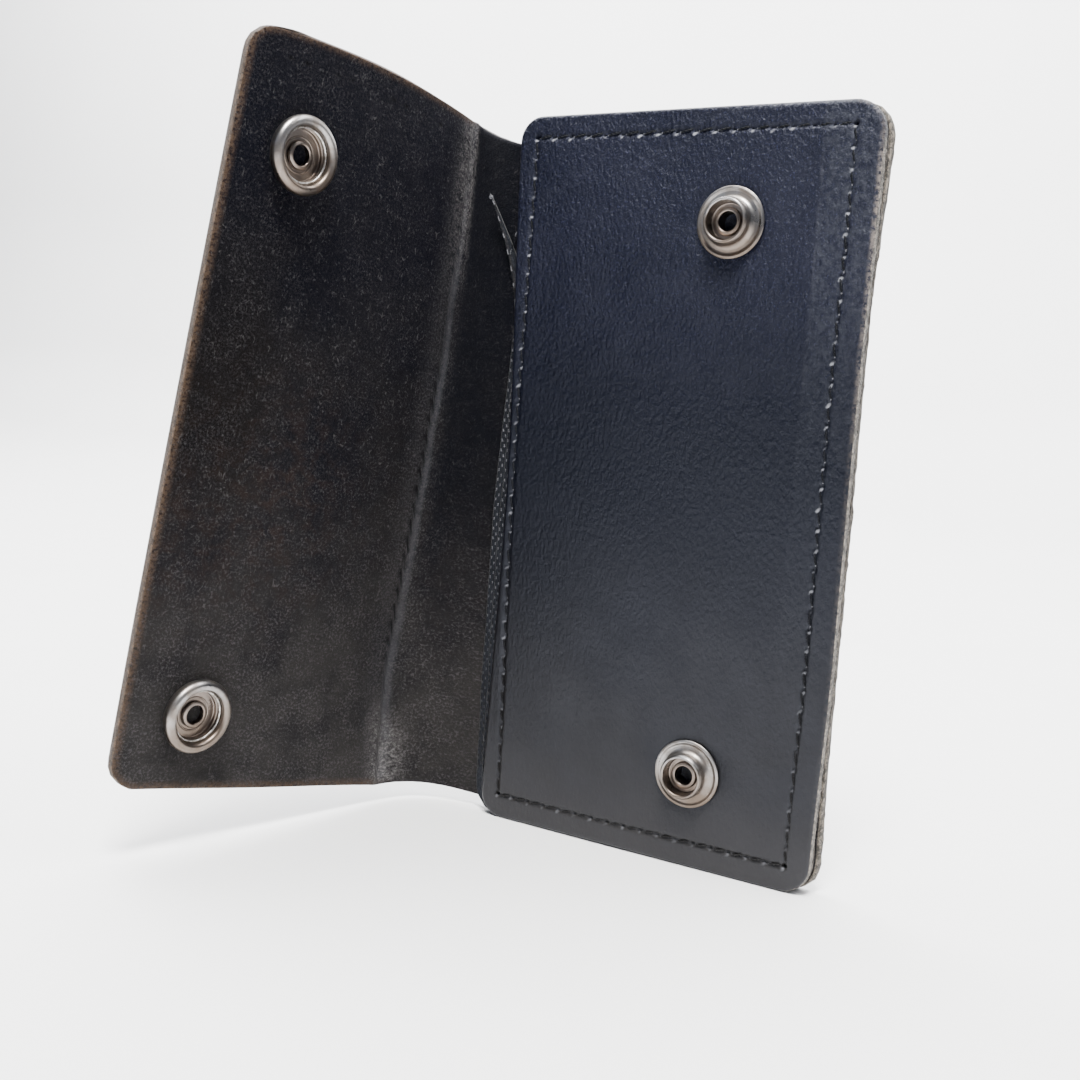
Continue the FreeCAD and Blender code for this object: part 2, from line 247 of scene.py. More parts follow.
def leather_sheet(name, front, back, flat, distance, worn, materials, rings=4, fuzz=0.1, seed=1,
                  plain_back=False, band=WORN_BAND, **marks):
    """A closed sheet of leather from two grids of points, with a fibrous rim between them.

    front and back are columns x rows x 3, flat is columns x rows x 2 and distance is to the outline.
    materials are for the front, the back and the rim; plain_back spans the back row by row; band is the
    width of bare fibre where worn is 1; marks are further values on the front's grid.
    """
    columns, rows = distance.shape
    index = np.arange(columns * rows).reshape(columns, rows)
    loop = np.concatenate([index[:-1, 0], index[-1, :-1], index[:0:-1, -1], index[0, :0:-1]])
    count = len(loop)
    points = [front.reshape(-1, 3)]
    flats = [np.column_stack([flat.reshape(-1, 2), np.zeros(columns * rows)])]
    back_points = back.reshape(-1, 3)
    depth = np.linalg.norm(front - back, axis=2).max()

    inner = np.clip(np.stack(np.divmod(loop, rows)), [[1], [1]], [[columns - 2], [rows - 2]])
    inside = (front[inner[0], inner[1]] + back[inner[0], inner[1]]) / 2
    out = (points[0][loop] + back_points[loop]) / 2 - inside
    out /= np.linalg.norm(out, axis=1, keepdims=True)
    dice = np.random.default_rng(seed)
    rim_worn = worn.reshape(-1)[loop]
    first_ring = columns * rows
    for ring in range(rings):
        share = (ring + 1) / (rings + 1)
        ragged = dice.normal(0, fuzz, count) * (0.25 + rim_worn)
        bulge = 0.12 * math.sin(math.pi * share)
        ring_points = points[0][loop] * (1 - share) + back_points[loop] * share
        points.append(ring_points + out * (ragged + bulge)[:, None])
        flats.append(np.column_stack([flat.reshape(-1, 2)[loop], np.full(count, depth * share)]))

    faces, slots = [], []

    def quads(a, b, c, d, slot):
        made = np.stack([a, b, c, d], -1).reshape(-1, 4).tolist()
        faces.extend(made)
        slots.extend([slot] * len(made))

    quads(index[:-1, :-1], index[1:, :-1], index[1:, 1:], index[:-1, 1:], 0)
    bare = (distance + 1e-6 < band * worn)[:-1, :-1] & (distance < band * worn)[1:, 1:]
    slots = np.where(bare.ravel(), 2, slots).tolist()
    ring_index = [loop] + [first_ring + ring * count + np.arange(count) for ring in range(rings)]
    back_start = first_ring + rings * count
    if plain_back:
        points.append(back_points[loop])
        flats.append(np.column_stack([flat.reshape(-1, 2)[loop], np.full(count, depth)]))
        back_loop = back_start + np.arange(count)
        spanned = plain_back_faces(index, dict(zip(loop.tolist(), back_loop.tolist())))
        faces += spanned
        slots += [1] * len(spanned)
        back_edge = np.zeros(count)
    else:
        points.append(back_points)
        flats.append(np.column_stack([flat.reshape(-1, 2), np.full(columns * rows, depth)]))
        other = index + back_start
        quads(other[:-1, :-1], other[:-1, 1:], other[1:, 1:], other[1:, :-1], 1)
        back_loop = loop + back_start
        back_edge = distance.reshape(-1)
    ring_index.append(back_loop)
    for near, far in zip(ring_index, ring_index[1:]):
        quads(near, far, np.roll(far, -1), np.roll(near, -1), 2)

    edge = np.concatenate([distance.reshape(-1), np.zeros(rings * count), back_edge])
    worn_all = [worn.reshape(-1), *[rim_worn] * rings, rim_worn if plain_back else worn.reshape(-1)]
    marks = {key: np.pad(value.reshape(-1), (0, len(edge) - first_ring)) for key, value in marks.items()}
    return make_mesh(name, np.concatenate(points), faces, materials, slots, np.concatenate(flats),
                     edge=edge, worn=np.concatenate(worn_all), **marks)


# --- materials ---
class Paint:
    """A node material.  Most methods add a node, or a few, and give the last one's output."""

    def __init__(self, name, **constants):
        self.material = bpy.data.materials.new(name)
        self.material.use_nodes = True
        self.tree = self.material.node_tree
        self.shader = self.tree.nodes["Principled BSDF"]
        for socket, value in constants.items():
            self.shader.inputs[socket.replace("_", " ")].default_value = value
        self.where = None

    def add(self, kind, inputs, **settings):
        node = self.tree.nodes.new("ShaderNode" + kind)
        for key, value in settings.items():
            setattr(node, key, value)
        for key, value in inputs.items():
            self.feed(node.inputs[key], value)
        return node

    def feed(self, socket, value):
        if isinstance(value, bpy.types.NodeSocket):
            self.tree.links.new(value, socket)
        else:
            socket.default_value = value

    def set(self, **inputs):
        for key, value in inputs.items():
            self.feed(self.shader.inputs[key.replace("_", " ")], value)
        return self.material

    def flat(self):
        """Paint by the coordinates on the flat leather, in millimetres."""
        self.where = self.add("Attribute", {}, attribute_name="flat").outputs["Vector"]

    def on_object(self):
        """Paint by the coordinates on a CAD piece or the floor, in metres."""
        self.where = self.add("TexCoord", {}).outputs["Object"]

    def value(self, name):
        return self.add("Attribute", {}, attribute_name=name).outputs["Fac"]

    def part(self, axis):
        return self.add("SeparateXYZ", {0: self.where}).outputs[axis]

    def stretched(self, scale):
        if scale is None:
            return self.where
        return self.add("Mapping", {"Vector": self.where, "Scale": scale}).outputs["Vector"]

    def noise(self, scale, detail=3.0, roughness=0.55, stretch=None, distortion=0.0):
        made = self.add("TexNoise", {"Vector": self.stretched(stretch), "Scale": scale, "Detail": detail,
                                     "Roughness": roughness, "Distortion": distortion})
        return made.outputs["Fac"]

    def cells(self, scale, feature="F1", stretch=None):
        inputs = {"Vector": self.stretched(stretch), "Scale": scale}
        return self.add("TexVoronoi", inputs, feature=feature).outputs["Distance"]

    def ramp(self, value, low, high, start=0.0, end=1.0):
        """value from low..high to start..end, smoothly and no further."""
        made = self.add("MapRange", {"Value": value, "From Min": low, "From Max": high, "To Min": start,
                                     "To Max": end}, interpolation_type="SMOOTHSTEP")
        return made.outputs["Result"]

    def math(self, operation, a, b=0.0):
        return self.add("Math", {0: a, 1: b}, operation=operation).outputs[0]

    def times(self, a, b):
        return self.math("MULTIPLY", a, b)

    def mix(self, share, a, b):
        """Share 0 is a and 1 is b; each is a socket or three numbers."""
        made = self.add("Mix", {"Factor": share}, data_type="RGBA")
        self.feed(made.inputs[6], a if isinstance(a, bpy.types.NodeSocket) else (*a, 1))
        self.feed(made.inputs[7], b if isinstance(b, bpy.types.NodeSocket) else (*b, 1))
        return made.outputs[2]

    def fade(self, mask, *limits):
        """A mask times a ramp."""
        return self.times(mask, self.ramp(*limits))

    def tint(self, colour, towards, mask, strength):
        """Move colour towards another, by strength where mask is 1."""
        return self.mix(self.times(mask, strength), colour, towards)

    def bump(self, height, distance, strength=1.0, under=None):
        inputs = {"Height": height, "Distance": distance, "Strength": strength}
        if under is not None:
            inputs["Normal"] = under
        return self.add("Bump", inputs).outputs["Normal"]

    def band(self, value, middle, width):
        """1 at middle, falling to 0 width away on both sides."""
        off = self.math("ABSOLUTE", self.math("SUBTRACT", value, middle))
        return self.ramp(off, 0.0, width, 1.0, 0.0)


def grain_leather(name, dark, light, roughness, scuff, calm=1.0):
    """The smooth, dyed side: fine pebble grain, tired at the edges and calm times as strong at the foot."""
    paint = Paint(name, Specular_IOR_Level=0.25, Specular_Tint=(0.80, 0.84, 1.0, 1.0))
    paint.flat()
    cloud = paint.noise(0.035, 4.0)
    pebble = paint.cells(1.35, "SMOOTH_F1", (1.0, 0.62, 1.0))
    pores = paint.noise(2.6, 3.0, 0.6, (1.0, 0.7, 1.0))
    wrinkle = paint.noise(0.95, 4.0, 0.6, (1.6, 0.45, 1.0), 0.3)
    lively = paint.ramp(paint.part("Y"), 62.0, 150.0, calm, 1.0)
    colour = paint.mix(paint.ramp(cloud, 0.35, 0.65), dark, light)
    # pale specks in the pores are a painted highlight: glints off the grain, fewer towards the foot where
    # lively is calm
    specks = paint.times(paint.ramp(pores, 0.57, 0.70, 0.0, 0.9), lively)
    colour = paint.mix(specks, colour, tuple(4.6 * c for c in light))
    rubbed = paint.ramp(paint.value("edge"), 0.0, 1.3, 1.0, 0.0)
    rubbed = paint.fade(rubbed, paint.noise(0.8, 5.0, 0.7), 0.40, 0.56)
    rubbed = paint.times(rubbed, paint.value("worn"))
    colour = paint.mix(paint.times(rubbed, scuff), colour, (0.24, 0.205, 0.175))
    gloss = paint.ramp(paint.noise(0.11, 5.0, 0.6), 0.3, 0.7, roughness - 0.07, roughness + 0.08)
    fine = paint.bump(paint.times(pebble, lively), 0.00028, 1.0)
    fine = paint.bump(paint.times(pores, lively), 0.00026, 1.0, fine)
    normal = paint.bump(paint.times(wrinkle, lively), 0.00014, 0.40, fine)
    return paint, colour, gloss, normal


def panel_leather():
    paint, colour, gloss, normal = grain_leather(
        "panel_leather", (0.0034, 0.0040, 0.0094), (0.0056, 0.0062, 0.0130), 0.36, 0.9, 0.32)
    across = paint.part("X")
    rubbed_band = paint.ramp(across, WIDTH - 11.8, WIDTH - 10.2)
    rubbed_band = paint.fade(rubbed_band, paint.noise(0.6, 5.0, 0.65), 0.35, 0.7)
    colour = paint.tint(colour, (0.028, 0.030, 0.038), rubbed_band, 0.7)
    line = paint.band(across, WIDTH - 10.9, 0.6)
    line = paint.fade(line, paint.noise(0.12, 3.0), 0.4, 0.6)
    colour = paint.tint(colour, (0.06, 0.06, 0.068), line, 0.15)
    # waist is painted shade: the panel is darkened from near the top down to the middle and foot, leaving
    # the top lighter as if lit
    waist = paint.ramp(paint.part("Y"), 150.0, 88.0, 0.0, 0.8)
    colour = paint.mix(waist, colour, (0.0015, 0.0020, 0.0036))
    mote = paint.times(paint.ramp(paint.noise(3.6, 2.0, 0.6), 0.70, 0.75), 0.7)
    colour = paint.mix(mote, colour, (0.060, 0.062, 0.072))
    # painted reflection of the pale floor: the panel is lightened to a neutral grey towards the foot, most
    # at its lowest part
    foot = paint.ramp(paint.part("Y"), 2.0, 95.0, 0.9, 0.0)
    foot = paint.fade(foot, paint.noise(0.03, 4.0), 0.25, 0.6, 0.6, 1.0)
    colour = paint.mix(foot, colour, (0.0100, 0.0093, 0.0082))
    colour = paint.mix(paint.ramp(paint.part("Y"), -6.0, 27.0, 1.0, 0.0), colour, (0.0215, 0.0200, 0.0188))
    # painted glints beside the awl holes, stronger towards the top
    lip = paint.times(paint.ramp(paint.value("lip"), 0.12, 0.60),
                     paint.ramp(paint.part("Y"), 5.0, 110.0, 0.2, 0.9))
    colour = paint.mix(lip, colour, (0.20, 0.205, 0.225))
    return paint.set(Base_Color=colour, Roughness=gloss, Normal=normal)


def plain_grain(*settings):
    """Grain leather with nothing more painted on it."""
    paint, colour, gloss, normal = grain_leather(*settings)
    return paint.set(Base_Color=colour, Roughness=gloss, Normal=normal)


def cover_outside():
    return plain_grain("cover_leather", (0.0050, 0.0050, 0.0056), (0.0095, 0.0090, 0.0095), 0.40, 0.9)


def thin_leather():
    return plain_grain("pocket_leather", (0.0026, 0.0030, 0.0040), (0.0050, 0.0056, 0.0070), 0.55, 0.2)


def flesh_colour(paint, patch, nap):
    """Mottled suede: darker to the top, with painted shade on the spine beside the panel, lighter and
    mottled at the foot, with rust and tufts.
    """
    across, along = paint.part("X"), paint.part("Y")
    blotch = paint.noise(0.045, 6.0, 0.62)
    colour = paint.mix(paint.ramp(blotch, 0.36, 0.64), (0.0022, 0.0025, 0.0042), (0.0060, 0.0056, 0.0060))
    paler = paint.times(paint.ramp(along, 8.0, 95.0, 0.9, 0.0), paint.ramp(blotch, 0.3, 0.6, 0.4, 1.0))
    colour = paint.mix(paler, colour, (0.0250, 0.0232, 0.0222))
    colour = paint.mix(paint.ramp(along, 85.0, 150.0, 0.0, 0.72), colour, (0.0008, 0.0011, 0.0038))
    rust = paint.times(paint.ramp(patch, 0.42, 0.66), paint.band(along, 68.0, 46.0))
    rust = paint.fade(rust, across, SPINE_FLAT + 14.0, SPINE_FLAT + 46.0, 0.15, 1.0)
    colour = paint.tint(colour, (0.0235, 0.0145, 0.0110), rust, 0.55)
    # darker brown towards the free side, at middle heights
    free_side = paint.ramp(across, SPINE_FLAT + 44.0, SPINE_FLAT + 62.0)
    free_side_middle = paint.times(free_side, paint.band(along, 92.0, 50.0))
    colour = paint.tint(colour, (0.0042, 0.0032, 0.0026), free_side_middle, 0.65)

    low = paint.ramp(along, 10.0, 120.0, 1.0, 0.2)
    fuzz = paint.times(paint.ramp(nap, 0.47, 0.66), paint.math("ADD", low, 0.3))
    matted = paint.noise(0.13, 6.0, 0.7, distortion=0.6)
    fuzz = paint.fade(fuzz, matted, 0.38, 0.60, 0.25, 1.15)
    colour = paint.tint(colour, (0.055, 0.050, 0.052), fuzz, 0.72)
    tuft = paint.ramp(paint.noise(0.8, 6.0, 0.78, distortion=0.5), 0.57, 0.66)
    colour = paint.tint(colour, (0.060, 0.057, 0.060), tuft, 0.5)
    curl = paint.ramp(paint.noise(0.6, 6.0, 0.72, (1.0, 0.6, 1.0), 1.8), 0.59, 0.66)
    colour = paint.tint(colour, (0.075, 0.070, 0.070), curl, 0.5)
    # painted shade on the spine, which turns away from the overhead light, strongest towards the top
    spine = paint.times(paint.ramp(across, 0.0, 3.0, 0.0, 1.0),
                        paint.ramp(across, SPINE_FLAT - 7.0, SPINE_FLAT - 1.0, 1.0, 0.0))
    spine = paint.fade(spine, along, 30.0, 95.0)
    return paint.tint(colour, (0.0016, 0.0022, 0.0038), spine, 0.6)


def rubbed_crease(paint, colour, near_crease, patch, nap):
    """A pale line along the crease, with dust beside it and scuffs at both ends."""
    along = paint.part("Y")
    beside = paint.band(near_crease, SPINE_FLAT + 3.5, 5.5)
    beside = paint.fade(beside, nap, 0.40, 0.62, 0.2, 1.0)
    colour = paint.tint(colour, (0.034, 0.032, 0.034), beside, 0.5)
    line = paint.band(near_crease, SPINE_FLAT - 0.8, 2.2)
    line = paint.fade(line, patch, 0.32, 0.52, 0.35, 1.0)
    halo = paint.band(near_crease, SPINE_FLAT - 1.2, 7.5)
    dust = paint.noise(0.5, 7.0, 0.82, distortion=0.3)
    halo = paint.fade(halo, dust, 0.38, 0.60)
    halo = paint.fade(halo, nap, 0.44, 0.60, 0.25, 1.0)
    head = paint.ramp(along, HEIGHT - 48.0, HEIGHT - 12.0)
    foot = paint.ramp(along, 24.0, 12.0)
    ends = paint.times(paint.math("ADD", head, foot), 0.9)
    scuff = paint.times(halo, paint.math("ADD", ends, 0.12))
    colour = paint.tint(colour, (0.062, 0.063, 0.070), line, 0.42)
    return paint.mix(scuff, colour, (0.165, 0.156, 0.155))


def panel_imprint(paint, near_crease, patch):
    """Where the panel's stitches have pressed dots into the flap: a row by the crease, one at the top."""
    across, along = paint.part("X"), paint.part("Y")
    pitch = (SEAM_TOP - SEAM_BOTTOM) / STITCHES_ALONG

    def dotted(distance):
        return paint.band(paint.math("FRACT", paint.math("DIVIDE", distance, pitch)), 0.5, 0.36)

    dots = paint.times(dotted(along), paint.band(near_crease, SPINE_FLAT + 1.1, 1.7))
    dots = paint.fade(dots, patch, 0.36, 0.50, 0.6, 1.0)
    dots = paint.fade(dots, paint.band(along, 72.0, 58.0), 0.0, 0.5)
    top_row = paint.times(dotted(across), paint.band(along, SEAM_TOP - 1.0, 0.8))
    top_row = paint.fade(top_row, across, SPINE_FLAT, SPINE_FLAT + 8.0)
    top_row = paint.fade(top_row, paint.noise(0.15, 3.0), 0.40, 0.60)
    return paint.math("MAXIMUM", dots, top_row)


def flesh_side():
    """The napped inside of the cover: mottled, with the panel's imprint and a rubbed crease."""
    paint = Paint("flesh_leather", Specular_IOR_Level=0.04, Sheen_Weight=0.012, Sheen_Roughness=0.4,
                  Sheen_Tint=(0.80, 0.80, 0.95, 1.0))
    paint.flat()
    across = paint.part("X")
    patch = paint.noise(0.22, 6.0, 0.68, distortion=0.4)
    nap = paint.noise(1.6, 7.0, 0.75)
    wander = paint.times(paint.math("SUBTRACT", paint.noise(0.05, 2.0), 0.5), 3.0)
    near_crease = paint.math("ADD", across, wander)
    colour = flesh_colour(paint, patch, nap)
    colour = rubbed_crease(paint, colour, near_crease, patch, nap)
    pressed = panel_imprint(paint, near_crease, patch)
    colour = paint.tint(colour, (0.0014, 0.0014, 0.0018), pressed, 0.9)
    rubbed = paint.ramp(paint.value("edge"), 0.0, 2.4, 1.0, 0.0)
    rubbed = paint.fade(rubbed, paint.noise(1.1, 7.0, 0.8), 0.36, 0.60)
    rubbed = paint.fade(rubbed, across, SPINE_FLAT - 4.0, SPINE_FLAT + 4.0)
    colour = paint.tint(colour, (0.085, 0.055, 0.036), rubbed, 0.75)

    normal = paint.bump(paint.noise(3.2, 4.0, 0.7, (1.0, 0.5, 1.0), 0.8), 0.00016, 0.9)
    normal = paint.bump(nap, 0.00055, 0.9, normal)
    normal = paint.bump(patch, 0.0008, 0.5, normal)
    normal = paint.bump(paint.math("SUBTRACT", 1.0, pressed), 0.0003, 0.6, normal)
    gloss = paint.ramp(patch, 0.3, 0.7, 0.72, 0.9)
    return paint.set(Base_Color=colour, Roughness=gloss, Normal=normal)


def raw_edge(name, dyed, bare, far=None):
    """Cut leather: dyed where it is sheltered, bare fibre where the edge is worn; far is past the crease."""
    paint = Paint(name, Specular_IOR_Level=0.3, Sheen_Weight=0.15, Sheen_Roughness=0.5)
    paint.flat()
    fibre = paint.noise(1.5, 6.0, 0.75, (1.0, 0.35, 2.6))
    speck = paint.noise(1.1, 5.0, 0.75, (1.0, 0.5, 1.0), 0.8)
    bald = paint.math("ADD", paint.value("worn"), paint.times(fibre, 0.9))
    bald = paint.ramp(bald, 0.82, 1.22)
    pale = paint.mix(paint.ramp(fibre, 0.40, 0.58), tuple(0.20 * c for c in bare), bare)
    pale = paint.mix(paint.ramp(speck, 0.46, 0.57, 0.0, 0.9), pale, tuple(0.07 * c for c in bare))
    if far:
        brown = paint.mix(paint.ramp(fibre, 0.38, 0.60), tuple(0.12 * c for c in far), far)
        brown = paint.mix(paint.ramp(speck, 0.45, 0.60), brown, tuple(0.3 * c for c in far))
        past = paint.ramp(paint.part("X"), SPINE_FLAT, SPINE_FLAT + 10.0)
        pale = paint.mix(past, pale, brown)
        bald = paint.math("MAXIMUM", bald, paint.times(past, 0.9))
    colour = paint.mix(bald, dyed, pale)
    normal = paint.bump(fibre, 0.0004, 0.9)
    normal = paint.bump(speck, 0.0002, 0.8, normal)
    return paint.set(Base_Color=colour, Roughness=paint.ramp(fibre, 0.3, 0.7, 0.62, 0.9), Normal=normal)


def waxed_thread(name, dark, light):
    """Thread that is as pale as light where its fuzz noise is high, less so towards the foot, where it is
    also drawn to a plain grey; light in the pale thread is a painted glint.
    """
    paint = Paint(name, Specular_IOR_Level=0.10)
    paint.flat()
    fuzz = paint.noise(4.0, 3.0, 0.7)
    height = paint.part("Z")
    pale = paint.times(paint.ramp(fuzz, 0.35, 0.7), paint.ramp(height, 15.0, 95.0, 0.25, 1.0))
    colour = paint.mix(pale, dark, light)
    colour = paint.mix(paint.ramp(height, 0.0, 70.0, 0.7, 0.0), colour, (0.0150, 0.0145, 0.0145))
    return paint.set(Base_Color=colour, Roughness=paint.ramp(fuzz, 0.3, 0.7, 0.32, 0.6),
                     Normal=paint.bump(fuzz, 0.00006, 0.8))


def worn_nickel(node, recess):
    """Nickel plate, tarnished brown and darkened with painted shade inside recess, a radius round the middle
    of the node.
    """
    paint = Paint(f"worn_nickel_{node}", Metallic=1.0)
    paint.on_object()
    low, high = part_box(node)
    middle, axis = (low + high) / 2, Vector((0.0, 1.0, 0.0))
    if not node.startswith("stud"):
        axis = Matrix.Rotation(math.radians(-OPEN_ANGLE), 3, Vector(FOLD_AXIS)) @ axis
    tarnish = paint.noise(210.0, 4.0, 0.6)
    grime = paint.noise(900.0, 5.0, 0.7)
    off = paint.add("VectorMath", {0: paint.where, 1: tuple(middle)}, operation="SUBTRACT").outputs[0]
    crossed = paint.add("VectorMath", {0: off, 1: tuple(axis)}, operation="CROSS_PRODUCT").outputs[0]
    radius = paint.add("VectorMath", {0: crossed}, operation="LENGTH").outputs["Value"]
    inside = paint.ramp(radius, recess - 0.0003, recess + 0.0004, 1.0, 0.0)
    colour = paint.mix(paint.ramp(tarnish, 0.38, 0.66), (0.33, 0.32, 0.315), (0.21, 0.185, 0.165))
    colour = paint.mix(paint.ramp(grime, 0.58, 0.78, 0.0, 0.3), colour, (0.14, 0.11, 0.085))
    # painted reflection: below the middle the metal is tinted a warm dark brown
    height = paint.add("SeparateXYZ", {0: off}).outputs["Z"]
    colour = paint.mix(paint.ramp(height, -0.006, 0.005, 0.8, 0.0), colour, (0.125, 0.092, 0.068))
    # brown tarnish and painted shade inside the recess
    colour = paint.tint(colour, (0.185, 0.145, 0.118), inside, 0.7)
    normal = paint.bump(grime, 0.00001, 0.4)
    return paint.set(Base_Color=colour, Roughness=paint.ramp(tarnish, 0.3, 0.7, 0.27, 0.42), Normal=normal)


def spring_steel():
    paint = Paint("spring_steel", Metallic=1.0)
    paint.on_object()
    dull = paint.noise(900.0, 4.0, 0.6)
    colour = paint.mix(paint.ramp(dull, 0.4, 0.7), (0.55, 0.54, 0.52), (0.22, 0.19, 0.16))
    return paint.set(Base_Color=colour, Roughness=paint.ramp(dull, 0.3, 0.7, 0.25, 0.45),
                     Normal=paint.bump(dull, 0.00003, 0.5))


def pale_floor():
    paint = Paint("pale_floor", Specular_IOR_Level=0.2)
    paint.on_object()
    cloud = paint.noise(3.0, 4.0)
    colour = paint.mix(paint.ramp(cloud, 0.3, 0.7), (0.86, 0.86, 0.86), (0.90, 0.90, 0.90))
    return paint.set(Base_Color=colour, Roughness=paint.ramp(cloud, 0.3, 0.7, 0.7, 0.8))


# --- the cover ---
def flap_middle(along, height):
    """The flap's mid-surface at rest; along runs 0 to 1 from the crease to the free side."""
    up = height / HEIGHT
    width = FLAP_WIDTH - corner_inset(height, FLAP_CORNER_R) - FREE_PULL * up ** 2
    low = np.clip(1 - up / FOOT_SHARE, 0, 1) ** 2
    lift = FOOT_FLARE * low * along - FOOT_PINCH * low * (1 - along)
    lift += HEAD_LIFT * (1 - along) ** 2 * up ** 3
    lift += 0.35 * waves(along * FLAP_WIDTH, height, 45.0, 3) * (1 - along) * along * 4
    for snap_x, snap_z in SNAP_SPOTS:
        reach = np.hypot(CREASE_X + along * width - snap_x, height - snap_z)
        lift *= 1 - np.exp(-(reach / SNAP_CALM_R) ** 4)
    foot_rise = FOOT_RISE[0] + (FOOT_RISE[1] - FOOT_RISE[0]) * along
    head_rise = HEAD_RISE[0] + (HEAD_RISE[1] - HEAD_RISE[0]) * along + HEAD_BOW * 4 * along * (1 - along)
    rise = foot_rise * (1 - up) ** 2
    rise += head_rise * up ** 2
    closed = np.stack([CREASE_X + along * width, -SNAP_GAP - COVER_T / 2 - lift, height + rise], -1)
    return turned_open(closed), width


def waist(heights, beside):
    """Height of each row of the cover, where beside is 1 next to the panel and 0 away from it."""
    foot, head = WAIST_BOTTOM * beside, HEIGHT - WAIST_TOP * beside
    return foot + (head - foot) * heights / HEIGHT


def back_columns(heights):
    """Mid-surface, flat coordinates and distance to the free side, from the free side to the spine."""
    overhang = 0.7 + 1.6 * smooth((heights - 125) / 40) + 0.35 * smooth(1 - heights / 34)
    shares = 1 - grid_lines(WIDTH, 2.4)[::-1] / WIDTH
    for share in shares[shares < 0.995]:
        x = (WIDTH + overhang - corner_inset(heights, CORNER_R)) * (1 - share)
        z = waist(heights, smooth(1 - x / 14.0))
        yield (np.stack([x, np.full_like(x, COVER_MID), z], -1), np.stack([-x, z], -1),
               WIDTH + overhang - x)


def spine_columns(heights):
    """The same along the spine, which leaves the back level and meets the flap in its own direction."""
    crease, _ = flap_middle(np.zeros_like(heights), heights)
    beyond, _ = flap_middle(np.full_like(heights, 0.05), heights)
    heading = beyond - crease
    heading /= np.linalg.norm(heading, axis=1, keepdims=True)
    start = np.stack([0 * heights, 0 * heights + COVER_MID, waist(heights, np.ones_like(heights))], -1)
    length = np.linalg.norm(crease - start, axis=1, keepdims=True)
    leave = start + length * 0.52 * np.array([-1.0, 0.0, 0.0])
    arrive = crease - heading * length * 0.40
    for t in np.linspace(0, 1, SPINE_COLUMNS):
        point = ((1 - t) ** 3 * start + 3 * (1 - t) ** 2 * t * leave + 3 * (1 - t) * t ** 2 * arrive
                 + t ** 3 * crease)
        share = t + t * t * (1 - t)
        z = start[:, 2] * (1 - share) + crease[:, 2] * share
        yield (np.column_stack([point[:, :2], z]), np.stack([np.full_like(heights, t * SPINE_FLAT), z], -1),
               np.full_like(heights, WIDTH / 2))


def flap_columns(heights):
    """The same from the crease to the flap's free side."""
    shares = grid_lines(FLAP_WIDTH, 1.7)[1:] / FLAP_WIDTH
    for along in shares[shares > 0.01]:
        point, width = flap_middle(np.full_like(heights, along), heights)
        yield (point, np.stack([SPINE_FLAT + along * width, heights], -1),
               (1 - along) * width + corner_inset(heights, FLAP_CORNER_R))


def cover():
    """One piece of leather: back, spine and flap."""
    heights = grid_lines(HEIGHT, 1.9)
    flap = list(flap_columns(heights))
    columns = [*back_columns(heights), *spine_columns(heights), *flap][::-1]
    middle, flat, side = (np.array(grid) for grid in zip(*columns))
    on_back = np.arange(len(middle))[:, None] > len(flap) + SPINE_COLUMNS / 2
    from_end = np.minimum(heights, HEIGHT - heights)[None, :] + 0 * side
    radius = np.where(on_back, CORNER_R, FLAP_CORNER_R)
    distance = rim_distance(side, np.full_like(side, WIDTH), from_end, radius, 1.0)
    normal = normals(middle)
    uneven = 0.12 * waves(flat[..., 0], flat[..., 1], 14.0, 5)
    half = (COVER_T / 2 - edge_drop(distance))[..., None]
    inner = middle + normal * half
    outer = middle - normal * (half + uneven[..., None] * np.clip(distance / 3, 0, 1)[..., None])
    across = flat[..., 0]
    worn = np.where(across < 0, smooth((-across - 40) / 44), smooth((across - 30) / 60) * 0.34)
    worn = np.clip(worn + 0.1 * waves(across, flat[..., 1], 12.0, 8), 0, 1)
    materials = [flesh_side(), cover_outside(),
                 raw_edge("cover_edge", (0.012, 0.0095, 0.0085), (0.205, 0.175, 0.142),
                          (0.12, 0.078, 0.050))]
    piece = leather_sheet("cover", inner, outer, flat, distance, worn, materials, rings=5, fuzz=0.09)
    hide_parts("cover_back", "cover_spine", "cover_flap")
    across_fold(piece)


def across_fold(piece):
    """Works out where a bend along the leaning fold would begin and end, but leaves the piece unbent and
    only bakes its transform.
    """
    towards = np.array(FLAP_HEADING)
    towards -= FOLD_AXIS * (towards @ FOLD_AXIS)
    towards /= np.linalg.norm(towards)
    start, end = (place(FOLD_POINT + reach * towards) for reach in FOLD_REACH)
    tuple(start)
    tuple(end)
    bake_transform(piece)


# --- the pocket stack ---
def panel_bow(z):
    return PANEL_BOW * np.sin(math.pi * np.clip(z / HEIGHT, 0, 1)) ** 2


def free_bulge(z):
    """How far the panel's free side stands out past its foot."""
    return 1.05 * smooth((z - 5) / 50) + 0.65 * smooth((z - 105) / 55)


def left_seam(z):
    return SEAM_LEFT - SEAM_DRAW / PANEL_BOW * panel_bow(z)


def right_seam(z):
    return SEAM_RIGHT + 0.75 * free_bulge(z)


def seam_holes():
    """The awl holes of each stitched row on the front panel, as lists of (x, z)."""
    along = np.linspace(SEAM_BOTTOM, SEAM_TOP, STITCHES_ALONG + 1)
    rows = [np.column_stack([left_seam(along), along]), np.column_stack([right_seam(along), along])]
    for height in (SEAM_TOP, SEAM_BOTTOM):
        across = np.linspace(SEAM_LEFT, right_seam(height), STITCHES_ACROSS + 1)
        rows.append(np.column_stack([across, np.full_like(across, height)]))
    return rows


